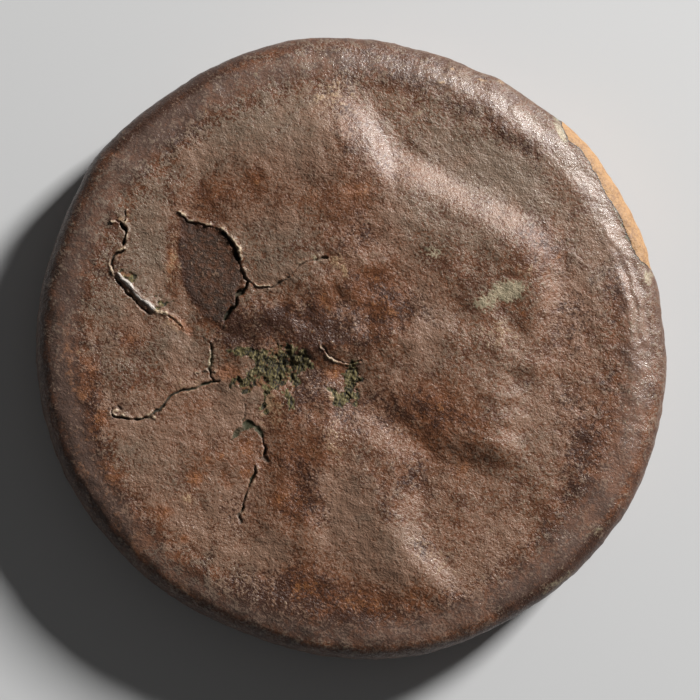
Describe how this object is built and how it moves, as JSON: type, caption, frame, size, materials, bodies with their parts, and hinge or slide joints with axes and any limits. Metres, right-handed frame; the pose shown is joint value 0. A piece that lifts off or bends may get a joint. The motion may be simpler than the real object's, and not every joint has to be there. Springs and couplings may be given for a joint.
{
  "type": "ancient bronze coin",
  "caption": "Worn ancient bronze coin on a thick round flan: helmeted head on the front, two-handled jar on the back, cracks and brown patina.",
  "frame": {"origin": "under the middle of the coin, on the plane that it rests on", "axes": "+Z out of the head side, +Y towards the top of the head, +X the way the head faces"},
  "size_m": [0.026, 0.0256, 0.0039],
  "materials": {
    "patinated_bronze": "corroded grey-brown and red-brown patina, finely grained, with bare golden metal along one stretch of the edge"
  },
  "bodies": {
    "root": {"coin": "patinated_bronze"}
  },
  "joints": []
}
